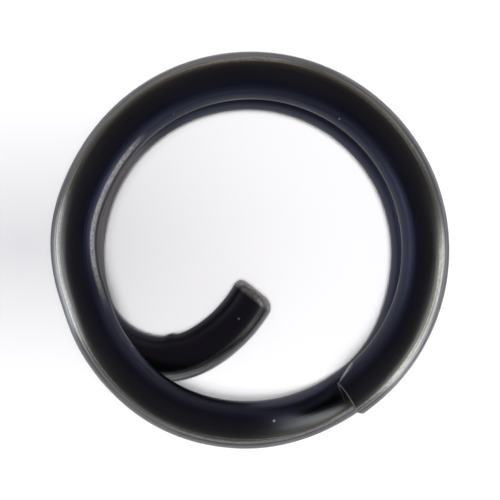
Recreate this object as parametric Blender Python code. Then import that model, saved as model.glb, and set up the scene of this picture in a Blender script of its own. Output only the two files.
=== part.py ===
"""Split key ring wound from one round wire, with a tail bent into the ring.

The ring lies flat with its axis along +Z and its lower turn on z = 0. Seen from above, the wire starts at a
blunt cut end at the lower right, runs counterclockwise round the upper turn, steps down under its own cut end,
runs on round the lower turn and bends into the ring as a short curved tail.

Distances are in metres and angles in degrees. A place along the wire is given by its turn: how many degrees
the wire has turned through since the cut end.
"""

import math

import bmesh
import bpy
from mathutils import Vector

MM = 0.001

# Driving dimensions
OUTER_DIAMETER = 16.0 * MM
WIRE_DIAMETER = 1.9 * MM
TURN_GAP = 0.05 * MM  # between the upper and the lower turn
CUT_END_ANGLE = 302.5  # where the upper turn's cut end sits round the ring, from +X
STEP_SPAN = 37.0  # how much of the upper turn's last part steps down to the lower turn
LOWER_TURN_SPAN = 256.0  # from under the cut end to the start of the tail's bend
BEND_RADIUS = 3.25 * MM  # of the wire's centre line where it bends into the ring
BEND_TURN = 101.0
TAIL_RADIUS = 5.9 * MM
TAIL_TURN = 34.0
TAIL_CUT_SKEW = 10.0  # the tail's end is cut this far out of square, longest on its inner side
BEND_FLATTENING = 0.04  # bending has spread the wire sideways by this share
CUT_CHAMFER = 0.12 * MM  # round the upper turn's cut end
TAIL_CHAMFER = 0.24 * MM  # round the tail's end, which is worn blunter
STRETCH_GAP = 0.02 * MM  # between the faces of two neighbouring stretches

# How far the winding is out of true
LOWER_TURN_SHIFT = 0.2 * MM
LOWER_TURN_SHIFT_ANGLE = 225.0
PASSING_BULGE = 0.20 * MM  # the wire swings out where it passes under the cut end
PASSING_BULGE_FADE = 52.0
UPPER_TURN_BOWS = (
    # angle round the ring, half width, height
    (173.0, 14.0, 0.10 * MM),
    (198.0, 9.0, -0.06 * MM),
    (243.0, 20.0, 0.08 * MM),
)

# Mesh fineness: the wire's section has a flat facet at its top, bottom and sides
SIDES = 16
SECTION_SPACING = 0.60 * MM
TIGHT_SECTION_SPACING = 0.42 * MM

# Sizes worked out from those above
WIRE_RADIUS = WIRE_DIAMETER / 2
CORNER_RADIUS = WIRE_RADIUS / math.cos(math.pi / SIDES)
MEAN_RADIUS = OUTER_DIAMETER / 2 - WIRE_RADIUS
TURN_PITCH = WIRE_DIAMETER + TURN_GAP
LOWER_Z = WIRE_RADIUS
STEP_START = 360.0 - STEP_SPAN
BEND_START = 360.0 + LOWER_TURN_SPAN
TAIL_START = BEND_START + BEND_TURN
TAIL_END = TAIL_START + TAIL_TURN
TIP_TURN = math.degrees(WIRE_DIAMETER / TAIL_RADIUS) / 2  # the last half wire diameter of the tail

# Each stretch of the wire: name, first turn, last turn, and the hinge that carries it, if it springs open
STRETCHES = (
    ("upper_cut_end", 0.0, 18.0, "cut_end_side"),
    ("upper_turn_lower_right", 18.0, 57.5, "cut_end_side"),
    ("upper_turn_right", 57.5, 102.5, "cut_end_side"),
    ("upper_turn_top_right", 102.5, 147.5, "cut_end_side"),
    ("upper_turn_top_left", 147.5, 192.5, "cut_end_side"),
    ("upper_turn_left", 192.5, 237.5, "closed_side"),
    ("upper_turn_lower_left", 237.5, 280.0, "closed_side"),
    ("upper_turn_bottom", 280.0, STEP_START, "closed_side"),
    ("crossover_step", STEP_START, 359.0, "closed_side"),
    ("lower_turn_lower_right", 359.0, 411.0, "closed_side"),
    ("lower_turn_right", 411.0, 462.5, "closed_side"),
    ("lower_turn_top_right", 462.5, 507.5, None),
    ("lower_turn_top_left", 507.5, 552.5, None),
    ("lower_turn_left", 552.5, BEND_START, None),
    ("tail_bend", BEND_START, TAIL_START, None),
    ("tail", TAIL_START, TAIL_END - TIP_TURN, None),
    ("tail_tip", TAIL_END - TIP_TURN, TAIL_END, None),
)

# Where the wire twists when the turns spring apart: the side that the hinge carries, its turn, and the side that
# carries the hinge. The tail's side lies still.
HINGES = (
    ("closed_side", 462.5, None),
    ("cut_end_side", 192.5, "closed_side"),
)


def clear_scene():
    for obj in list(bpy.data.objects):
        bpy.data.objects.remove(obj, do_unlink=True)


def blackened_steel():
    material = bpy.data.materials.new("blackened_spring_steel")
    material.use_nodes = True
    shader = material.node_tree.nodes["Principled BSDF"]
    shader.inputs["Base Color"].default_value = (0.022, 0.021, 0.025, 1.0)
    shader.inputs["Metallic"].default_value = 0.85
    shader.inputs["Roughness"].default_value = 0.32
    return material


def ramp(value, start, end):
    """0 before start, 1 after end, and a smooth rise between them."""
    share = min(max((value - start) / (end - start), 0.0), 1.0)
    return share * share * (3.0 - 2.0 * share)


def direction(angle):
    return Vector((math.cos(math.radians(angle)), math.sin(math.radians(angle)), 0.0))


def bows(turn):
    """How far the upper turn is bowed out, or in, from a true circle."""
    angle = CUT_END_ANGLE + turn - 360.0
    return sum(height * math.exp(-(((angle - middle) / width) ** 2)) for middle, width, height in UPPER_TURN_BOWS)


def turns_point(turn):
    """The wire's centre on the two turns and on the step between them."""
    bulge = ramp(turn, STEP_START, 358.0) * (1.0 - ramp(turn, 362.0, 362.0 + PASSING_BULGE_FADE))
    upper = 1.0 - ramp(turn, STEP_START, 360.0)
    radius = MEAN_RADIUS + PASSING_BULGE * bulge + bows(turn) * upper
    shift = LOWER_TURN_SHIFT * ramp(turn, 360.0, 400.0)
    point = direction(CUT_END_ANGLE + turn) * radius + direction(LOWER_TURN_SHIFT_ANGLE) * shift
    point.z = LOWER_Z + TURN_PITCH * upper
    return point


def arc_point(start, heading, radius, turn):
    """The end of a level arc that turns left from start by the given turn."""
    centre = start + direction(heading + 90.0) * radius
    return centre + direction(heading + turn - 90.0) * radius


def wire_point(turn):
    """The wire's centre line, from the cut end at 0 to the tail's end."""
    if turn <= BEND_START:
        return turns_point(turn)
    start = turns_point(BEND_START)
    before = turns_point(BEND_START - 0.5)
    heading = math.degrees(math.atan2(start.y - before.y, start.x - before.x))
    bend = min(turn, TAIL_START) - BEND_START
    point = arc_point(start, heading, BEND_RADIUS, bend)
    if turn > TAIL_START:
        point = arc_point(point, heading + bend, TAIL_RADIUS, turn - TAIL_START)
    return point


def wire_tangent(turn):
    return (wire_point(turn + 0.05) - wire_point(turn - 0.05)).normalized()


def turn_per_metre(turn):
    """How fast the turn rises along the wire."""
    return 1.0 / (wire_point(turn + 0.5) - wire_point(turn - 0.5)).length


def section(turn, scale=1.0):
    """The corners of the wire's section, square to its centre line, with facets at top, bottom and sides."""
    centre, along = wire_point(turn), wire_tangent(turn)
    side = along.cross(Vector((0.0, 0.0, 1.0))).normalized()
    up = side.cross(along)
    spread = BEND_FLATTENING * ramp(turn, BEND_START, BEND_START + 40.0) * (1.0 - ramp(turn, TAIL_START, TAIL_END))
    skew = math.tan(math.radians(TAIL_CUT_SKEW)) * ramp(turn, TAIL_END - TIP_TURN, TAIL_END)
    side, up = side * (1.0 + spread) - along * skew, up * (1.0 - spread)
    corners = []
    for k in range(SIDES):
        angle = 2.0 * math.pi * (k + 0.5) / SIDES
        corners.append(centre + (side * math.cos(angle) + up * math.sin(angle)) * (CORNER_RADIUS * scale))
    return corners


def stretch_sections(first, last):
    """(turn, scale) of each section of a stretch; the wire's two ends are chamfered."""
    spacing = TIGHT_SECTION_SPACING if last > BEND_START or first == STEP_START else SECTION_SPACING
    half_gap = STRETCH_GAP / 2
    start = first + (half_gap * turn_per_metre(first) if first > 0.0 else 0.0)
    end = last - (half_gap * turn_per_metre(last) if last < TAIL_END else 0.0)
    ends = []
    if first == 0.0:
        ends.append((start, 1.0 - CUT_CHAMFER / WIRE_RADIUS))
        start += CUT_CHAMFER * turn_per_metre(first)
    tip = []
    if last == TAIL_END:
        tip.append((end, 1.0 - TAIL_CHAMFER / WIRE_RADIUS))
        end -= TAIL_CHAMFER * turn_per_metre(last)
    middle = (start + end) / 2
    length = (end - start) / turn_per_metre(middle)
    count = max(1, math.ceil(length / spacing))
    body = [(start + (end - start) * i / count, 1.0) for i in range(count + 1)]
    return ends + body + tip


def stretch_mesh(name, first, last, origin):
    """A closed tube with capped ends, with its points measured from origin."""
    bm = bmesh.new()
    rings = []
    for turn, scale in stretch_sections(first, last):
        rings.append([bm.verts.new(corner - origin) for corner in section(turn, scale)])
    for near, far in zip(rings, rings[1:]):
        for k in range(SIDES):
            following = (k + 1) % SIDES
            bm.faces.new((near[k], near[following], far[following], far[k]))
    bm.faces.new(reversed(rings[0]))
    bm.faces.new(rings[-1])
    bmesh.ops.recalc_face_normals(bm, faces=bm.faces)
    mesh = bpy.data.meshes.new(name)
    bm.to_mesh(mesh)
    bm.free()
    mesh.shade_smooth()
    mesh.set_sharp_from_angle(angle=math.radians(35.0))
    return mesh


def add_hinges():
    """An empty on each hinge, at the wire's centre, with its X axis along the wire."""
    empties = {}
    for name, turn, carrier in HINGES:
        empty = bpy.data.objects.new(name + "_hinge", None)
        empty.empty_display_size = WIRE_DIAMETER
        empty.location = wire_point(turn)
        empty.rotation_mode = "QUATERNION"
        empty.rotation_quaternion = wire_tangent(turn).to_track_quat("X", "Z")
        bpy.context.scene.collection.objects.link(empty)
        if carrier:
            empty.parent = empties[carrier]
            empty.matrix_parent_inverse = empties[carrier].matrix_world.inverted()
        bpy.context.view_layer.update()
        empties[name] = empty
    return empties


def add_stretches(empties, material):
    for name, first, last, hinge in STRETCHES:
        origin = wire_point(first)
        obj = bpy.data.objects.new(name, stretch_mesh(name, first, last, origin))
        obj.location = origin
        obj.data.materials.append(material)
        bpy.context.scene.collection.objects.link(obj)
        if hinge:
            obj.parent = empties[hinge]
            obj.matrix_parent_inverse = empties[hinge].matrix_world.inverted()


clear_scene()
add_stretches(add_hinges(), blackened_steel())
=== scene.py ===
# %% [markdown]
# # A small split key ring
# The real object is one piece of hardened spring wire, wound nearly twice round a mandrel and blackened. The
# upper turn ends in a blunt sheared end. The lower turn bends into the ring as a short tail, which leads a key
# in between the turns. The CAD frame holds the wire as straight-sided stretches. Here it gets its true round
# section, its worn ends, its tool marks and its finish.

# %% Load the frame
import math

import bpy
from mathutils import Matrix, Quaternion, Vector


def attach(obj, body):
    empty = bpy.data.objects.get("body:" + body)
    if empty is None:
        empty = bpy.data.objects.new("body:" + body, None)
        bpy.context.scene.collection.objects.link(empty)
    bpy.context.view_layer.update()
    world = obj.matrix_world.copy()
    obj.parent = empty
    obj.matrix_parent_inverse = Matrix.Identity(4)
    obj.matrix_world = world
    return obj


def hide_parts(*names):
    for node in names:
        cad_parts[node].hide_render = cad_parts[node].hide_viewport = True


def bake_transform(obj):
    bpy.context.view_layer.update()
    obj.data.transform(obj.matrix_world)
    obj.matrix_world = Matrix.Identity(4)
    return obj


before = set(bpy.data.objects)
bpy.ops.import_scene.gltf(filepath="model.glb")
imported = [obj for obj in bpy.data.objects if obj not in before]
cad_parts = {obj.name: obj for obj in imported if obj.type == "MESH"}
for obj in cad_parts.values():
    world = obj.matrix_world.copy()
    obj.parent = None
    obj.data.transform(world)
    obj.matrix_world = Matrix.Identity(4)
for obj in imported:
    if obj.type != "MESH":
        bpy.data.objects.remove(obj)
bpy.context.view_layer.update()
scene = bpy.context.scene

# %% [markdown]
# ## The wire's centre line
# A place along the wire is given by its turn: how many degrees the wire has turned through since the cut end.
# The sizes are the CAD part's own, apart from one that says so, and the round wire runs through the middle of
# the CAD stretches. A formula gives the centre line, because every later step asks for points on it.

# %% Sizes of the wire and of its windings
MM = 0.001
WIRE_RADIUS = 0.95 * MM
MEAN_RADIUS = 7.05 * MM
TURN_PITCH = 1.95 * MM
CUT_END_ANGLE = 302.5
STEP_START = 323.0
BEND_START = 616.0
BEND_RADIUS = 3.25 * MM
TAIL_START = 717.0
TAIL_RADIUS = 5.9 * MM
TAIL_END = 751.0
LOWER_TURN_SHIFT = 0.2 * MM
LOWER_TURN_SHIFT_ANGLE = 225.0
LOWER_TURN_SHIFT_END = 400.0  # the turn by which the shift is whole
PASSING_BULGE = 0.22 * MM  # 0.02 mm more than the CAD stretch, whose corners stand out
PASSING_START, PASSING_END = 358.0, 362.0  # the bulge is whole between these turns
PASSING_BULGE_FADE = 52.0
UPPER_TURN_BOWS = (
    # angle round the ring, half width, height
    (173.0, 14.0, 0.10 * MM),
    (198.0, 9.0, -0.06 * MM),
    (243.0, 20.0, 0.08 * MM),
)
print(f"wire {2 * WIRE_RADIUS / MM:.1f} mm thick, ring {2 * (MEAN_RADIUS + WIRE_RADIUS) / MM:.1f} mm across")


# %% The two turns
def ramp(value, start, end):
    """0 before start, 1 after end, and a smooth rise between them."""
    share = min(max((value - start) / (end - start), 0.0), 1.0)
    return share * share * (3.0 - 2.0 * share)


def direction(angle):
    return Vector((math.cos(math.radians(angle)), math.sin(math.radians(angle)), 0.0))


def bows(turn):
    """How far the upper turn is bowed out, or in, from a true circle."""
    angle = CUT_END_ANGLE + turn - 360.0
    total = 0.0
    for middle, width, height in UPPER_TURN_BOWS:
        total += height * math.exp(-(((angle - middle) / width) ** 2))
    return total


def turns_point(turn):
    """The wire's centre on the two turns and on the step between them."""
    faded = ramp(turn, PASSING_END, PASSING_END + PASSING_BULGE_FADE)
    bulge = ramp(turn, STEP_START, PASSING_START) * (1.0 - faded)
    upper = 1.0 - ramp(turn, STEP_START, 360.0)
    radius = MEAN_RADIUS + PASSING_BULGE * bulge + bows(turn) * upper
    shift = LOWER_TURN_SHIFT * ramp(turn, 360.0, LOWER_TURN_SHIFT_END)
    point = direction(CUT_END_ANGLE + turn) * radius + direction(LOWER_TURN_SHIFT_ANGLE) * shift
    point.z = WIRE_RADIUS + TURN_PITCH * upper
    return point


print(f"the step drops {(turns_point(STEP_START).z - turns_point(360.0).z) / MM:.2f} mm")


# %% The bend, the tail and the direction of the wire
def arc_point(start, heading, radius, turn):
    """The end of a level arc that turns left from start by the given turn."""
    centre = start + direction(heading + 90.0) * radius
    return centre + direction(heading + turn - 90.0) * radius


def wire_point(turn):
    """The wire's centre line, from the cut end at 0 to the tail's end."""
    if turn <= BEND_START:
        return turns_point(turn)
    start = turns_point(BEND_START)
    before = turns_point(BEND_START - 0.5)
    heading = math.degrees(math.atan2(start.y - before.y, start.x - before.x))
    bend = min(turn, TAIL_START) - BEND_START
    point = arc_point(start, heading, BEND_RADIUS, bend)
    if turn > TAIL_START:
        point = arc_point(point, heading + bend, TAIL_RADIUS, turn - TAIL_START)
    return point


def wire_tangent(turn):
    return (wire_point(turn + 0.05) - wire_point(turn - 0.05)).normalized()


print(f"the tail ends {wire_point(TAIL_END).xy.length / MM:.1f} mm from the ring's axis")

# %% From turns to lengths and back
lengths = [0.0]
for degree in range(1, int(TAIL_END) + 1):
    lengths.append(lengths[-1] + (wire_point(degree) - wire_point(degree - 1)).length)


def length_at(turn):
    """How far along the wire a turn lies, from the cut end."""
    whole = min(int(turn), len(lengths) - 2)
    return lengths[whole] + (turn - whole) * (lengths[whole + 1] - lengths[whole])


def turn_at(length):
    """The turn that lies that far along the wire."""
    whole = max(i for i, reached in enumerate(lengths[:-1]) if reached <= length or i == 0)
    return whole + (length - lengths[whole]) / (lengths[whole + 1] - lengths[whole])


WIRE_LENGTH = lengths[-1]
print(f"the wire is {WIRE_LENGTH / MM:.1f} mm long")

# %% [markdown]
# ## Which stretch moves with which body
# The turns spring open by twisting the wire, and the twist is spread along it. A rigid piece rides on each
# body, and between two of them lies a twisting piece, which is left in place and carried by no body. Each piece
# ends square to the wire, so neighbours meet without a step.

# %% The pieces of the wire
UPPER_HINGE = 192.5
LOWER_HINGE = 462.5
TWIST_REACH = 35.0  # how far each blended piece reaches to either side of its hinge, in degrees of turn
UPPER_TWIST = (UPPER_HINGE - TWIST_REACH, UPPER_HINGE + TWIST_REACH)
LOWER_TWIST = (LOWER_HINGE - TWIST_REACH, LOWER_HINGE + TWIST_REACH)

PIECES = (
    # name, first turn, last turn, and the body or the two bodies that carry it
    ("cut_end_wire", 0.0, UPPER_TWIST[0], ("cut_end_side",)),
    ("upper_twisting_wire", *UPPER_TWIST, ("cut_end_side", "closed_side")),
    ("closed_side_wire", UPPER_TWIST[1], LOWER_TWIST[0], ("closed_side",)),
    ("lower_twisting_wire", *LOWER_TWIST, ("closed_side", "tail_side")),
    ("tail_wire", LOWER_TWIST[1], TAIL_END, ("tail_side",)),
)
print(len(PIECES), "pieces of one wire")

# %% [markdown]
# ## A line to sweep the wire along
# Geometry Nodes sweep the section, but they need to be told where the ends are cut, where the bending tool
# gripped the wire and so on. So each piece starts as a bare line of points, and each point carries these facts
# as attributes. The points crowd together at the two real ends, where the section shrinks quickly.

# %% Shapes that change along the wire
SECTION_SPACING = 0.14 * MM
CUT_SPACING = 0.05 * MM
CUT_ROUNDING = 0.07 * MM  # radius of the rubbed rim round the sheared end
TAIL_ROUNDING = 0.42 * MM  # the tail's rim is tumbled rounder, so that a key slides over it
RIM_STEPS = 8
FACE_RINGS = 5  # each end face is made of rings too, so that it can be dished
FACE_STEP = 0.02 * MM
SHEAR_BEVEL_DEPTH = 0.32 * MM  # the shear leaves a long slant on the inner side of the cut end
SHEAR_BEVEL_LENGTH = 1.2 * MM
CUT_DISH = 0.13 * MM  # the blade pushed the middle of the cut end in
CUT_DISH_REACH = 0.7 * MM
BEND_FLATTENING = 0.04
BEND_FLATTENING_RISE = 40.0
PINCH_TURN = 697.0  # the bending jaw left a small ridge across the inside of the bend
PINCH_WIDTH = 0.28 * MM
PINCH_HEIGHT = 0.09 * MM
TAIL_CUT_SKEW = 12.0
TIP_TURN = math.degrees(2 * WIRE_RADIUS / TAIL_RADIUS) / 2
CUT_WEAR = 0.5  # how bare each rim is rubbed
TIP_WEAR = 0.7


def rounded_scale(gap, rounding):
    """The section's scale this far from an end whose rim is rounded."""
    near = max(rounding - gap, 0.0)
    return 1.0 - (rounding - math.sqrt(rounding**2 - near**2)) / WIRE_RADIUS


print(f"the tail's flat end is {rounded_scale(0.0, TAIL_ROUNDING) * 2 * WIRE_RADIUS / MM:.2f} mm across")


# %% Where the sections lie
def rim_stations(width):
    """Distances from an end, crowded towards the end face."""
    return [width * (1.0 - math.cos(math.pi / 2 * i / RIM_STEPS)) for i in range(RIM_STEPS)]


def stations(first, last):
    """The distances along the wire of a piece's sections. Those of an end face run on past the end."""
    start, end = length_at(first), length_at(last)
    face = [i * FACE_STEP for i in range(1, FACE_RINGS)]
    ends = []
    if first == 0.0:
        ends = [-beyond for beyond in reversed(face)] + rim_stations(CUT_ROUNDING)
        slant = math.ceil((SHEAR_BEVEL_LENGTH - CUT_ROUNDING) / CUT_SPACING)
        ends += [CUT_ROUNDING + (SHEAR_BEVEL_LENGTH - CUT_ROUNDING) * i / slant for i in range(slant)]
        start = SHEAR_BEVEL_LENGTH
    tips = []
    if last == TAIL_END:
        tips = [end - gap for gap in reversed(rim_stations(TAIL_ROUNDING))] + [end + beyond for beyond in face]
        end -= TAIL_ROUNDING
    count = math.ceil((end - start) / SECTION_SPACING)
    return ends + [start + (end - start) * i / count for i in range(count + 1)] + tips


print(len(stations(0.0, UPPER_TWIST[0])), "sections in the cut end's piece")


# %% The facts at one place
def facts_at(distance):
    """What the sweep has to know at one place on the wire."""
    turn = turn_at(distance)
    from_tip = WIRE_LENGTH - distance
    from_pinch = distance - length_at(PINCH_TURN)
    beyond = max(-distance, -from_tip, 0.0)
    cut_scale = rounded_scale(max(distance, 0.0), CUT_ROUNDING)
    tip_scale = rounded_scale(max(from_tip, 0.0), TAIL_ROUNDING)
    bent = ramp(turn, BEND_START, BEND_START + BEND_FLATTENING_RISE) * (1.0 - ramp(turn, TAIL_START, TAIL_END))
    cut_wear = ramp(CUT_ROUNDING - distance, 0.0, CUT_ROUNDING) * (1.0 - ramp(beyond, 0.0, FACE_STEP))
    tip_wear = ramp(TAIL_ROUNDING - from_tip, 0.0, TAIL_ROUNDING / 3)
    return {
        "centre": wire_point(turn),
        "along": wire_tangent(turn),
        "distance": distance,
        "scale": min(cut_scale, tip_scale) * (1.0 - beyond / (FACE_RINGS * FACE_STEP)),
        "shift": beyond if distance < 0.0 else -beyond,
        "spread": BEND_FLATTENING * bent,
        "skew": math.tan(math.radians(TAIL_CUT_SKEW)) * ramp(turn, TAIL_END - TIP_TURN, TAIL_END),
        "bevel": SHEAR_BEVEL_DEPTH * min(max(1.0 - distance / SHEAR_BEVEL_LENGTH, 0.0), 1.0),
        "dish": CUT_DISH * (1.0 - ramp(distance, 0.0, CUT_DISH_REACH)),
        "pinch": PINCH_HEIGHT * math.exp(-((from_pinch / PINCH_WIDTH) ** 2)),
        "rubbed": CUT_WEAR * cut_wear + TIP_WEAR * tip_wear,
    }


FACT_KINDS = {}
for name, fact in facts_at(0.0).items():
    FACT_KINDS[name] = "FLOAT_VECTOR" if isinstance(fact, Vector) else "FLOAT"
print("each point carries:", ", ".join(FACT_KINDS))


# %% Draw a guide line
def guide_line(name, first, last):
    """A line of points along the centre line, each with its facts as attributes."""
    facts = [facts_at(distance) for distance in stations(first, last)]
    mesh = bpy.data.meshes.new(name)
    mesh.from_pydata([fact["centre"] for fact in facts], [(i, i + 1) for i in range(len(facts) - 1)], [])
    for key, kind in FACT_KINDS.items():
        mesh.attributes.new(key, kind, "POINT")
        if kind == "FLOAT_VECTOR":
            mesh.attributes[key].data.foreach_set("vector", [x for fact in facts for x in fact[key]])
        else:
            mesh.attributes[key].data.foreach_set("value", [fact[key] for fact in facts])
    line = bpy.data.objects.new(name, mesh)
    scene.collection.objects.link(line)
    return line


longest = max(len(stations(first, last)) for name, first, last, bodies in PIECES)
print("the longest guide line has", longest, "points")


# %% [markdown]
# ## One way to add a node
# Every tree below, of geometry or of a material, is built from the same small step: add a node, set what it
# needs, and link its inputs.

# %% Add a node
def add(tree, kind, inputs=(), **settings):
    """Adds a node with its settings, and fills its inputs: a node or socket is linked, and a value is set."""
    node = tree.nodes.new(kind)
    for key, value in settings.items():
        setattr(node, key, value)
    for key, value in inputs.items() if isinstance(inputs, dict) else enumerate(inputs):
        if isinstance(value, bpy.types.Node):
            value = value.outputs[0]
        if isinstance(value, bpy.types.NodeSocket):
            tree.links.new(value, node.inputs[key])
        else:
            node.inputs[key].default_value = value
    return node


def linear(hex_colour):
    """An sRGB hex colour as the linear RGBA that Blender works in."""
    channels = [int(hex_colour[i : i + 2], 16) / 255 for i in (0, 2, 4)]
    return tuple(c / 12.92 if c <= 0.04045 else ((c + 0.055) / 1.055) ** 2.4 for c in channels) + (1.0,)


print("mid grey is", round(linear("808080")[0], 3), "in linear light")

# %% [markdown]
# ## The sweep
# Wire is a circle pushed along a path, so Geometry Nodes make it: the guide line becomes a curve, and a circle
# is swept along it. Then each point is measured across the wire, sideways and upwards, and moved: spread where
# the wire is bent, slanted at the tail's cut, and held back at the flat that the shear left. The sums are many
# and small, so they are a table, and one loop makes a Math node of each row.

# %% The sums that shape the section
SIDES = 96
WAVINESS = 0.004 * MM  # cold-wound wire is never quite true
WAVES = (350.0, 250.0, 250.0)  # waves per metre along, across and up the wire
WAVE_TOP = 0.8  # the noise seldom gets this high, so the waves thin the wire and don't thicken it
SLANT_SHALLOWEST = 0.01 * MM
SHEAR_LEAN = 0.5  # the shear's slant is undercut: this share deeper below, and shallower on top
CORNER_START = 0.68  # the cut end's outer corner was dragged back from this share of the radius
CORNER_DRAG = 6.0
CREASE_WIDTH = 0.05 * MM  # the slant's edge is rubbed bare
CREASE_WEAR = 0.5

SECTION_SUMS = (
    # the result's name, the operation, and the two things that it works on
    ("wave", "SUBTRACT", "slow noise", WAVE_TOP),
    ("wave", "MULTIPLY", "wave", "Waviness"),
    ("wave", "DIVIDE", "wave", "Wire radius"),
    ("wave", "ADD", "wave", 1.0),
    ("size", "MULTIPLY", "scale", "wave"),
    ("wide", "ADD", "spread", 1.0),
    ("wide", "MULTIPLY", "size", "wide"),
    ("tall", "SUBTRACT", 1.0, "spread"),
    ("tall", "MULTIPLY", "size", "tall"),
    ("across", "MULTIPLY", "sideways", "wide"),
    ("high", "MULTIPLY", "upwards", "tall"),
    # the flat that the shear left
    ("lean", "DIVIDE", "upwards", "Wire radius"),
    ("lean", "MULTIPLY", "lean", -SHEAR_LEAN),
    ("lean", "ADD", "lean", 1.0),
    ("flat", "MULTIPLY", "bevel", "lean"),
    ("flat", "SUBTRACT", "flat", "Wire radius"),
    ("held", "MAXIMUM", "across", "flat"),
    ("share", "DIVIDE", "held", "Wire radius"),
    # the ridge inside the bend
    ("inward", "MULTIPLY", "share", -1.0),
    ("inward", "MAXIMUM", "inward", 0.0),
    ("inward", "MULTIPLY", "inward", "inward"),
    ("inward", "MULTIPLY", "inward", "pinch"),
    ("held", "SUBTRACT", "held", "inward"),
    # the dished cut end and the skewed tail end
    ("hollow", "MULTIPLY", "share", "share"),
    ("hollow", "SUBTRACT", 1.0, "hollow"),
    ("corner", "SUBTRACT", "share", CORNER_START),
    ("corner", "MAXIMUM", "corner", 0.0),
    ("corner", "MULTIPLY", "corner", CORNER_DRAG),
    ("hollow", "ADD", "hollow", "corner"),
    ("hollow", "MULTIPLY", "dish", "hollow"),
    ("skewed", "MULTIPLY", "held", "skew"),
    ("back", "SUBTRACT", "hollow", "skewed"),
    ("back", "ADD", "back", "shift"),
    # wear along the edge of the flat
    ("crease", "SUBTRACT", "across", "flat"),
    ("crease", "ABSOLUTE", "crease", 0.0),
    ("crease", "DIVIDE", "crease", CREASE_WIDTH),
    ("crease", "SUBTRACT", 1.0, "crease"),
    ("slanted", "GREATER_THAN", "bevel", SLANT_SHALLOWEST),
    ("crease", "MULTIPLY", "crease", "slanted"),
    ("crease", "MULTIPLY", "crease", CREASE_WEAR),
    ("worn", "MAXIMUM", "rubbed", "crease"),
)
print(len(SECTION_SUMS), "sums shape the section")


# %% [markdown]
# The tree also keeps each point's place on the wire as if the wire were pulled straight, so that the finish can
# follow the wire. The facts have done their work by then, and are dropped.

# %% Build the sweep
def swept_round_wire():
    """A tree that sweeps a circle along a guide line, and shapes it by the facts on the line."""
    tree = bpy.data.node_groups.new("swept round wire", "GeometryNodeTree")
    sockets = tree.interface
    sockets.new_socket("Geometry", in_out="INPUT", socket_type="NodeSocketGeometry")
    kinds = {"Wire radius": "Float", "Waviness": "Float", "Sides": "Int", "Finish": "Material"}
    for name, kind in kinds.items():
        sockets.new_socket(name, in_out="INPUT", socket_type="NodeSocket" + kind)
    sockets.new_socket("Geometry", in_out="OUTPUT", socket_type="NodeSocketGeometry")
    given = add(tree, "NodeGroupInput").outputs

    curve = add(tree, "GeometryNodeMeshToCurve", {"Mesh": given["Geometry"]})
    circle = {"Resolution": given["Sides"], "Radius": given["Wire radius"]}
    circle = add(tree, "GeometryNodeCurvePrimitiveCircle", circle)
    wire = {"Curve": curve, "Profile Curve": circle, "Fill Caps": True}
    wire = add(tree, "GeometryNodeCurveToMesh", wire)

    known = {name: given[name] for name in ("Wire radius", "Waviness")}
    for name, kind in FACT_KINDS.items():
        fact = add(tree, "GeometryNodeInputNamedAttribute", {"Name": name}, data_type=kind)
        known[name] = fact.outputs["Attribute"]

    vector = "ShaderNodeVectorMath"
    side = add(tree, vector, (known["along"], (0.0, 0.0, 1.0)), operation="CROSS_PRODUCT")
    side = add(tree, vector, (side,), operation="NORMALIZE")
    up = add(tree, vector, (side, known["along"]), operation="CROSS_PRODUCT")
    reach = add(tree, vector, (add(tree, "GeometryNodeInputPosition"), known["centre"]), operation="SUBTRACT")
    for name, way in (("sideways", side), ("upwards", up)):
        known[name] = add(tree, vector, (reach, way), operation="DOT_PRODUCT").outputs["Value"]
    straight = (known["distance"], known["sideways"], known["upwards"])
    straight = add(tree, "ShaderNodeCombineXYZ", straight)

    slow = add(tree, vector, (straight, WAVES), operation="MULTIPLY")
    slow = {"Vector": slow, "Scale": 1.0, "Detail": 1.0}
    known["slow noise"] = add(tree, "ShaderNodeTexNoise", slow, noise_dimensions="3D")
    for result, operation, *terms in SECTION_SUMS:
        terms = [known.get(term, term) for term in terms]
        known[result] = add(tree, "ShaderNodeMath", terms, operation=operation)

    place = known["centre"]
    for way, distance in ((side, "held"), (up, "high"), (known["along"], "back")):
        moved = add(tree, vector, {0: way, 3: known[distance]}, operation="SCALE")
        place = add(tree, vector, (place, moved), operation="ADD")
    kept = add(tree, "GeometryNodeSetPosition", {"Geometry": wire, "Position": place})

    for name, kind, value in (("straightened", "FLOAT_VECTOR", straight), ("rubbed", "FLOAT", known["worn"])):
        kept = {"Geometry": kept, "Name": name, "Value": value}
        kept = add(tree, "GeometryNodeStoreNamedAttribute", kept, data_type=kind)
    for name in FACT_KINDS:
        if name != "rubbed":
            kept = add(tree, "GeometryNodeRemoveAttribute", {"Geometry": kept, "Name": name})
    kept = add(tree, "GeometryNodeRealizeInstances", {"Geometry": kept})
    kept = add(tree, "GeometryNodeSetMaterial", {"Geometry": kept, "Material": given["Finish"]})
    add(tree, "NodeGroupOutput", {"Geometry": kept})
    return tree


sweep = swept_round_wire()
print("the sweep has", len(sweep.nodes), "nodes")
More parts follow.
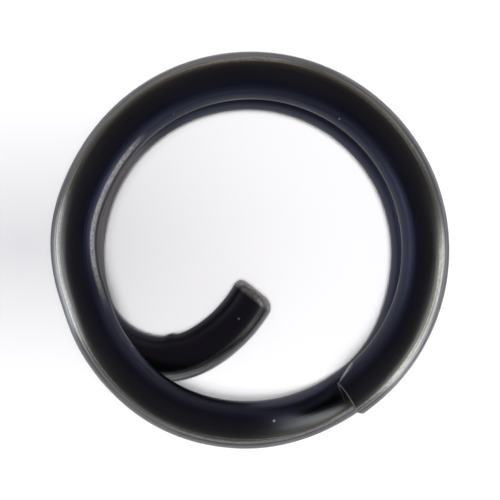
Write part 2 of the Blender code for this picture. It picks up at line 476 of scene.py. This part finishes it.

# %% [markdown]
# ## The finish
# Hardened steel wire is blackened in a hot salt bath, which grows a skin of black iron oxide about a micron
# thick, and is then oiled. The skin is nearly black when it mirrors a dark room and bright where it mirrors a
# lamp, because it is smooth. The drawing die leaves hair-fine lines along the wire, and handling rubs the skin
# thin on the outer side and on every edge. The colour also carries painted light: a painted reflection lightens
# the outer side, painted highlight and shade bands lie on the inner side, and streaks of painted highlight and
# reflection lie on the inner shoulders.

# %% Colours of the oxide, with painted light across the wire
OXIDE_AND_PAINTED_LIGHT_TINTS = (
    # place across the wire, from -1 at the inner side to 1 at the outer side, and the skin's colour there with
    # painted
    # light: a painted reflection lighter towards the outer side, painted highlight and shade bands on the inner
    # side
    (-1.0, "2b2c33"),
    (-0.90, "3c3f4e"),
    (-0.80, "363847"),
    (-0.70, "22232e"),
    (-0.52, "262739"),
    (-0.25, "34363b"),
    (0.15, "3d3e40"),
    (0.42, "464440"),
    (0.60, "5c5b59"),
    (0.80, "696a6e"),
    (0.90, "747578"),
    (1.0, "88898e"),
)
SHELTERED_OXIDE = linear("303036")
SCORED_OXIDE = linear("26242a")  # the skin is thickest in the bottom of each draw line
# a pale brownish grey, used for a painted reflection
PAINTED_REFLECTION_TONE = linear("a39a92")
# bare steel for the worn marks, and the colour of the painted highlights too
BARE_STEEL_AND_HIGHLIGHT = linear("a9a7a4")
EDGE_TINT = linear("d8d8d8")  # the skin is finely pitted, so it is a poorer mirror at a glancing angle
print(len(OXIDE_AND_PAINTED_LIGHT_TINTS), "tints across the wire")

# %% Patterns and marks on the skin
SKIN_PATTERNS = (
    # name, its size along, across and up the wire in millimetres, and its detail
    ("lines", (4.0, 0.09, 0.09), 3.0),  # real draw lines are nearer 0.02 mm wide, which is too fine to show
    ("grain", (0.12, 0.12, 0.12), 2.0),
    ("patches", (2.5, 0.8, 0.8), 2.0),
)
DUST_SPACING = 1.5 * MM
SCRAPE_START = length_at(359.0)  # the blade that cut the end also scraped the turn below it
SCRAPE_SLANT = -0.3 * MM
TAIL_SHELTER = length_at(BEND_START)  # past here the wire is inside the ring, and takes a plain darker oxide in place of the painted tints
PAINTED_HIGHLIGHT_START, PAINTED_HIGHLIGHT_END = length_at(188.0), length_at(262.0)  # where a bright streak is painted on the upper turn's inner shoulder, as a painted highlight
PAINTED_REFLECTION_START, PAINTED_REFLECTION_END = length_at(540.0), length_at(632.0)  # a paler band painted on the lower turn's inner shoulder, as a painted reflection

# A window is what it measures, where it is shut and where it is open, and what it lets through at each
SHELTER_WINDOWS = (("distance", TAIL_SHELTER, TAIL_SHELTER + 3 * MM), ("outward", 0.7, 0.4))
# bare specks in a band on the outer shoulder: partly wear, partly a painted highlight line
SPECK_WINDOWS = (
    ("lines", 0.45, 0.62),
    ("outward", 0.36, 0.5),
    ("outward", 0.74, 0.62),
    ("grain", 0.35, 0.6, 0.4, 1.0),
)
# a painted highlight: a bright streak on the upper turn's inner shoulder
PAINTED_HIGHLIGHT_WINDOWS = (
    ("outward", -0.74, -0.82),
    ("outward", -0.95, -0.88),
    ("distance", PAINTED_HIGHLIGHT_START, PAINTED_HIGHLIGHT_START + 1.5 * MM),
    ("distance", PAINTED_HIGHLIGHT_END, PAINTED_HIGHLIGHT_END - 2.5 * MM),
    ("grain", 0.30, 0.65, 0.45, 1.0),
)
# a painted reflection: a paler band on the lower turn's inner shoulder
PAINTED_REFLECTION_WINDOWS = (
    ("outward", -0.35, -0.6),
    ("lines", 0.35, 0.6, 0.5, 1.0),
    ("distance", PAINTED_REFLECTION_START, PAINTED_REFLECTION_START + 2.5 * MM),
    ("distance", PAINTED_REFLECTION_END, PAINTED_REFLECTION_END - 2.5 * MM),
)
SCRAPE_WINDOWS = (
    ("from scrape", 0.05 * MM, 0.01 * MM),
    ("outward", -0.75, -0.6),
    ("outward", 0.15, 0.0, 0.0, 0.4),
)
SKIN_MARKS = (
    # name, colour, strength, what it follows, and the windows that bound it
    ("shelter", SHELTERED_OXIDE, 0.85, "sheltered", ()),
    ("scores", SCORED_OXIDE, 1.0, "everywhere", (("lines", 0.52, 0.40), ("outward", 0.4, 0.8, 0.12, 0.6))),
    # bare specks on the outer shoulder: partly wear, partly a painted highlight line
    ("specks", BARE_STEEL_AND_HIGHLIGHT, 0.3, "open", SPECK_WINDOWS),
    # a painted highlight: a bright streak on the upper turn's inner shoulder
    ("painted highlight streak", BARE_STEEL_AND_HIGHLIGHT, 1.0, "everywhere", PAINTED_HIGHLIGHT_WINDOWS),
    # a painted reflection: a paler band on the lower turn's inner shoulder
    ("painted reflection band", PAINTED_REFLECTION_TONE, 0.34, "everywhere", PAINTED_REFLECTION_WINDOWS),
    ("scrape", BARE_STEEL_AND_HIGHLIGHT, 1.0, "everywhere", SCRAPE_WINDOWS),
    ("dust", BARE_STEEL_AND_HIGHLIGHT, 1.0, "everywhere", (("from dust", 0.045, 0.025, 0.0, 0.7),)),
    ("bare rims", BARE_STEEL_AND_HIGHLIGHT, 1.0, "rubbed", (("grain", 0.25, 0.6, 0.55, 1.0),)),
)
print("marks:", ", ".join(mark[0] for mark in SKIN_MARKS))


# %% [markdown]
# The material first measures each point: how far it lies along the wire and outwards, and how strong each
# pattern is there. Then each mark is laid over the skin, as strong as its windows let it be.

# %% Measure the skin
def skin_measures(tree):
    """What the marks can be bounded by, as sockets or nodes by name."""
    place = add(tree, "ShaderNodeAttribute", attribute_name="straightened").outputs["Vector"]
    rubbed = add(tree, "ShaderNodeAttribute", attribute_name="rubbed").outputs["Fac"]
    across = add(tree, "ShaderNodeSeparateXYZ", (place,)).outputs
    outward = add(tree, "ShaderNodeMath", (across["Y"], WIRE_RADIUS), operation="DIVIDE")
    measured = {"everywhere": 1.0, "distance": across["X"], "outward": outward, "rubbed": rubbed}

    for name, size, detail in SKIN_PATTERNS:
        moved = {"Vector": place, "Scale": tuple(1 / (length * MM) for length in size)}
        moved = add(tree, "ShaderNodeMapping", moved)
        measured[name] = add(tree, "ShaderNodeTexNoise", {"Vector": moved, "Scale": 1.0, "Detail": detail})

    dust = add(tree, "ShaderNodeMapping", {"Vector": place, "Scale": (1 / DUST_SPACING,) * 3})
    dust = add(tree, "ShaderNodeTexVoronoi", {"Vector": dust, "Scale": 1.0})
    measured["from dust"] = dust.outputs["Distance"]

    scrape = add(tree, "ShaderNodeMath", (outward, SCRAPE_SLANT), operation="MULTIPLY")
    scrape = add(tree, "ShaderNodeMath", (scrape, SCRAPE_START), operation="ADD")
    scrape = add(tree, "ShaderNodeMath", (across["X"], scrape), operation="SUBTRACT")
    measured["from scrape"] = add(tree, "ShaderNodeMath", (scrape,), operation="ABSOLUTE")
    return measured


def windowed(tree, measured, follows, windows):
    """How strongly a mark shows, from what it follows and from its windows."""
    share = measured[follows]
    for name, shut, opened, *span in windows:
        window = (measured[name], shut, opened, *span)
        window = add(tree, "ShaderNodeMapRange", window, interpolation_type="SMOOTHSTEP")
        share = add(tree, "ShaderNodeMath", (share, window), operation="MULTIPLY")
    return share


print("patterns:", ", ".join(pattern[0] for pattern in SKIN_PATTERNS))


# %% Black oxide on drawn spring steel
ROUGHNESS = (0.27, 0.36)  # an oiled oxide skin, from its smoothest patches to its dullest
LINE_ROUGHNESS = 0.06
WORN_ROUGHNESS = 0.15
LINE_DEPTH = 0.010 * MM
GRAIN_DEPTH = 0.4  # of the grain, next to the lines
BUMP_STRENGTH = 0.6


def black_oxide_steel():
    """Black oxide on drawn steel: dark and glossy, with lines along the wire, bare metal on its rims, and
    painted light.
    """
    material = bpy.data.materials.new("black_oxide_spring_steel")
    material.use_nodes = True
    tree = material.node_tree
    shader = tree.nodes["Principled BSDF"]
    shader.inputs["Metallic"].default_value = 1.0
    shader.inputs["Specular Tint"].default_value = EDGE_TINT
    measured = skin_measures(tree)

    # the oxide's colour across the wire, with painted reflection, highlight and shade in it
    tints = (measured["outward"], -1.0, 1.0)
    tints = add(tree, "ShaderNodeValToRGB", (add(tree, "ShaderNodeMapRange", tints),))
    stops = tints.color_ramp.elements
    for stop, (side, tint) in zip((stops[0], stops[1]), (OXIDE_AND_PAINTED_LIGHT_TINTS[0], OXIDE_AND_PAINTED_LIGHT_TINTS[-1])):
        stop.position, stop.color = (side + 1.0) / 2, linear(tint)
    for side, tint in OXIDE_AND_PAINTED_LIGHT_TINTS[1:-1]:
        stops.new((side + 1.0) / 2).color = linear(tint)

    measured["sheltered"] = windowed(tree, measured, "everywhere", SHELTER_WINDOWS)
    measured["open"] = add(tree, "ShaderNodeMath", (1.0, measured["sheltered"]), operation="SUBTRACT")
    colour = tints.outputs[0]
    for name, tint, strength, follows, windows in SKIN_MARKS:
        measured[name] = windowed(tree, measured, follows, windows)
        share = add(tree, "ShaderNodeMath", (measured[name], strength), operation="MULTIPLY")
        colour = add(tree, "ShaderNodeMix", {0: share, 6: colour, 7: tint}, data_type="RGBA").outputs[2]
    tree.links.new(colour, shader.inputs["Base Color"])

    # the roughness rises where the wire is worn and under the painted highlight streak
    worn = add(tree, "ShaderNodeMath", (measured["rubbed"], measured["dust"]), operation="MAXIMUM")
    worn = add(tree, "ShaderNodeMath", (worn, measured["painted highlight streak"]), operation="MAXIMUM")
    rough = (measured["patches"], 0.3, 0.7, *ROUGHNESS)
    rough = add(tree, "ShaderNodeMapRange", rough, interpolation_type="SMOOTHSTEP")
    for more, share in ((measured["lines"], LINE_ROUGHNESS), (worn, WORN_ROUGHNESS)):
        more = add(tree, "ShaderNodeMath", (more, share), operation="MULTIPLY")
        rough = add(tree, "ShaderNodeMath", (rough, more), operation="ADD")
    tree.links.new(rough.outputs[0], shader.inputs["Roughness"])

    height = add(tree, "ShaderNodeMath", (measured["grain"], GRAIN_DEPTH), operation="MULTIPLY")
    height = add(tree, "ShaderNodeMath", (measured["lines"], height), operation="ADD")
    bump = add(tree, "ShaderNodeBump", {"Height": height, "Strength": BUMP_STRENGTH, "Distance": LINE_DEPTH})
    tree.links.new(bump.outputs[0], shader.inputs["Normal"])
    return material


finish = black_oxide_steel()
print(f"{finish.name} has {len(finish.node_tree.nodes)} nodes")

# %% [markdown]
# ## Sweep each piece
# The evaluated object becomes a plain mesh, because a live modifier can't be posed. Where two pieces meet, the
# shading has to run on as if there were no joint, so the points of an end that isn't real are given the normals
# of the endless wire.


# %% From a guide line to a plain mesh
def swept_mesh(line):
    """The guide line's sweep as a plain mesh. An input is set by its socket's identifier, not by its name."""
    values = {"Wire radius": WIRE_RADIUS, "Waviness": WAVINESS, "Sides": SIDES, "Finish": finish}
    modifier = line.modifiers.new("sweep", "NODES")
    modifier.node_group = sweep
    for socket in sweep.interface.items_tree:
        if socket.in_out == "INPUT" and socket.name in values:
            modifier[socket.identifier] = values[socket.name]
    bpy.context.view_layer.update()
    graph = bpy.context.evaluated_depsgraph_get()
    mesh = bpy.data.meshes.new_from_object(line.evaluated_get(graph), depsgraph=graph)
    line.modifiers.remove(modifier)
    return mesh


def continue_shading(mesh, seams):
    """Gives the points on each seam the wire's own normals, so that two pieces shade as one."""
    normals = [Vector((0.0, 0.0, 0.0))] * len(mesh.loops)
    for turn in seams:
        centre, along = wire_point(turn), wire_tangent(turn)
        on_seam = set()
        for vertex in mesh.vertices:
            reach = vertex.co - centre
            if abs(reach.dot(along)) < 0.001 * MM and reach.length < 1.1 * WIRE_RADIUS:
                on_seam.add(vertex.index)
        for face in mesh.polygons:
            if abs(face.normal.dot(along)) > 0.9:
                continue
            for loop in face.loop_indices:
                vertex = mesh.loops[loop].vertex_index
                if vertex in on_seam:
                    normals[loop] = (mesh.vertices[vertex].co - centre).normalized()
    mesh.normals_split_custom_set(normals)


print(f"points round the wire are {2 * math.pi * WIRE_RADIUS / SIDES / MM:.3f} mm apart")


# %% Make the pieces
SHARP_ANGLE = 32.0  # a sharper edge than this is shaded as an edge


def make_piece(name, first, last):
    """A piece of the wire, with its place in its mesh."""
    piece = guide_line(name, first, last)
    guide = piece.data
    piece.data = swept_mesh(piece)
    bpy.data.meshes.remove(guide)
    piece.data.name = name
    piece.data.shade_smooth()
    piece.data.set_sharp_from_angle(angle=math.radians(SHARP_ANGLE))
    continue_shading(piece.data, [turn for turn in (first, last) if 0.0 < turn < TAIL_END])
    print(f"{name}: {len(piece.data.polygons)} faces")
    return piece


wires = {name: make_piece(name, first, last) for name, first, last, bodies in PIECES}

# %% [markdown]
# ## Carry the pieces
# A rigid piece rides on its body, and stands for that body's CAD stretches. A twisting piece is left in place,
# carried by neither of its two bodies; the script only measures how far its twist would reach, short of its end
# sections.

# %% Ride, and measure the twist
NODES_SHOWN_BY = {
    "cut_end_wire": (
        "upper_cut_end",
        "upper_turn_lower_right",
        "upper_turn_right",
        "upper_turn_top_right",
        "upper_turn_top_left",
    ),
    "closed_side_wire": (
        "upper_turn_left",
        "upper_turn_lower_left",
        "upper_turn_bottom",
        "crossover_step",
        "lower_turn_lower_right",
        "lower_turn_right",
    ),
    "tail_wire": (
        "lower_turn_top_right",
        "lower_turn_top_left",
        "lower_turn_left",
        "tail_bend",
        "tail",
        "tail_tip",
    ),
}
BLEND_MARGIN = 0.02 * MM

for name, first, last, bodies in PIECES:
    wire = wires[name]
    if len(bodies) == 1:
        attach(wire, bodies[0])
        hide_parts(*NODES_SHOWN_BY[name])
        continue
    middle = (first + last) / 2
    hinge, along = wire_point(middle), wire_tangent(middle)
    end_section = WIRE_RADIUS * math.sin(math.radians(TWIST_REACH))
    reach = (wire_point(last) - hinge).dot(along) - end_section - BLEND_MARGIN
    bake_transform(wire)
    print(f"{name} twists over {2 * reach / MM:.1f} mm")

# %% [markdown]
# ## Floor, light and camera
# A glossy black wire shows little but what it mirrors, so the room matters more than the wire's own colour:
# dark overhead, and bright low down on the right and on the left. The lamps that light the pale floor are kept
# out of the mirror images, as a polarising filter would do.

# %% Floor
FLOOR_HALF = 0.4
CARD_ROUGHNESS = 0.9
FLOOR_TONES = ("f4f4f4", "c8c8ca")  # open floor, and the soft shade on the left
SHADE_PLACE = (0.56, -0.03, 0.0)
SHADE_STRETCH = (57.0, 108.0, 100.0)  # one over its reach in metres: 17.5 mm along and 9.3 mm across


def pale_floor():
    """A flat card, a little darker to the left of the ring."""
    mesh = bpy.data.meshes.new("floor")
    corners = [(x * FLOOR_HALF, y * FLOOR_HALF, 0) for x, y in ((-1, -1), (1, -1), (1, 1), (-1, 1))]
    mesh.from_pydata(corners, [], [(0, 1, 2, 3)])
    floor = bpy.data.objects.new("floor", mesh)
    scene.collection.objects.link(floor)
    material = bpy.data.materials.new("pale_matt_card")
    material.use_nodes = True
    tree = material.node_tree
    shader = tree.nodes["Principled BSDF"]
    shade = add(tree, "ShaderNodeTexCoord").outputs["Object"]
    shade = {"Vector": shade, "Location": SHADE_PLACE, "Scale": SHADE_STRETCH}
    shade = add(tree, "ShaderNodeMapping", shade)
    shade = add(tree, "ShaderNodeTexGradient", (shade,), gradient_type="SPHERICAL").outputs["Fac"]
    tone = add(tree, "ShaderNodeValToRGB", (shade,))
    for stop, hex_colour in zip(tone.color_ramp.elements, FLOOR_TONES):
        stop.color = linear(hex_colour)
    tree.links.new(tone.outputs[0], shader.inputs["Base Color"])
    shader.inputs["Roughness"].default_value = CARD_ROUGHNESS
    mesh.materials.append(material)
    return floor


print("floor:", pale_floor().data.materials[0].name)

# %% Room
ROOM_BRIGHTNESS = 1.8
ROOM_FLOOR_TONE = (1.0, 1.0, 1.0, 1.0)
ROOM_TOP_TONE = (0.13, 0.105, 0.135, 1.0)
ROOM_TONES = (
    # height up the wall or ceiling, from 0 at the horizon to 1 overhead, and its colour
    (0.17, (0.74, 0.74, 0.74, 1.0)),
    (0.34, (0.42, 0.42, 0.42, 1.0)),
    (0.50, (0.20, 0.19, 0.20, 1.0)),
    (0.65, (0.12, 0.10, 0.125, 1.0)),
)
WARM_WALL = (1.0, 0.93, 0.82, 1.0)
COOL_WALL = (0.90, 0.97, 0.96, 1.0)


def room():
    """Dark above, pale near the horizon, warmer behind the ring than in front of it."""
    world = bpy.data.worlds.new("room")
    world.use_nodes = True
    tree = world.node_tree
    background = tree.nodes["Background"]
    towards = add(tree, "ShaderNodeTexCoord").outputs["Generated"]
    towards = add(tree, "ShaderNodeSeparateXYZ", (towards,)).outputs
    tone = add(tree, "ShaderNodeValToRGB", (towards["Z"],))
    points = tone.color_ramp.elements
    points[0].position, points[0].color = 0.0, ROOM_FLOOR_TONE
    points[1].position, points[1].color = 1.0, ROOM_TOP_TONE
    for height, colour in ROOM_TONES:
        points.new(height).color = colour
    wall = {0: towards["Y"], 6: COOL_WALL, 7: WARM_WALL}
    wall = add(tree, "ShaderNodeMix", wall, data_type="RGBA").outputs[2]
    tinted = add(tree, "ShaderNodeMix", {0: 1.0, 6: tone, 7: wall}, data_type="RGBA", blend_type="MULTIPLY")
    tree.links.new(tinted.outputs[2], background.inputs["Color"])
    background.inputs["Strength"].default_value = ROOM_BRIGHTNESS
    scene.world = world


room()
print("room:", len(ROOM_TONES) + 2, "tones from floor to ceiling")

# %% Lamps
WHITE = (1.0, 1.0, 1.0)
SKYLIGHT = (0.90, 0.95, 1.0)
MIRRORED_LAMPS = (
    # name, azimuth, distance, width, bottom, top, roll, brightness, colour
    ("right_lamp", -20.0, 13.0 * MM, 13.0 * MM, 2.3 * MM, 9.0 * MM, 11.0, 3.7, WHITE),
    ("left_lamp", 187.0, 13.0 * MM, 9.5 * MM, 2.4 * MM, 9.4 * MM, -18.0, 3.6, SKYLIGHT),
)
FLOOR_LAMPS = (
    # name, height above the floor, side, brightness
    ("near_lamp", 55.0 * MM, 10.0 * MM, 62.0),
    ("high_lamp", 500.0 * MM, 100.0 * MM, 32.0),
)


def lamp(name, place, width, height, brightness, colour):
    """A rectangular lamp that faces down until it is turned."""
    data = bpy.data.lights.new(name, "AREA")
    data.shape = "RECTANGLE"
    data.size, data.size_y = width, height
    data.energy = brightness * math.pi * width * height
    data.color = colour
    lamp_object = bpy.data.objects.new(name, data)
    lamp_object.location = place
    lamp_object.visible_camera = False
    scene.collection.objects.link(lamp_object)
    return lamp_object


for name, azimuth, distance, width, bottom, top, roll, brightness, colour in MIRRORED_LAMPS:
    place = direction(azimuth) * distance + Vector((0.0, 0.0, (bottom + top) / 2))
    upright = lamp(name, place, width, top - bottom, brightness, colour)
    facing = (-direction(azimuth)).to_track_quat("-Z", "Y")
    upright.rotation_euler = (facing @ Quaternion((0.0, 0.0, 1.0), math.radians(roll))).to_euler()
    upright.visible_diffuse = False
for name, height, side, brightness in FLOOR_LAMPS:
    lamp(name, (0.0, 0.0, height), side, side, brightness, WHITE).visible_glossy = False

# %% Camera
CAMERA_HEIGHT = 42.4 * MM
CAMERA_LENS = 70.4
CAMERA_SHIFT = -0.0018
CAMERA_NEAREST = 1.0 * MM

camera_data = bpy.data.cameras.new("camera")
camera_data.lens = CAMERA_LENS
camera_data.clip_start = CAMERA_NEAREST
camera_data.shift_x = CAMERA_SHIFT
camera = bpy.data.objects.new("camera", camera_data)
camera.location = (0.0, 0.0, CAMERA_HEIGHT)
scene.collection.objects.link(camera)
scene.camera = camera
scene.view_settings.view_transform = "Standard"
print(f"camera {CAMERA_HEIGHT / MM:.1f} mm above the floor")
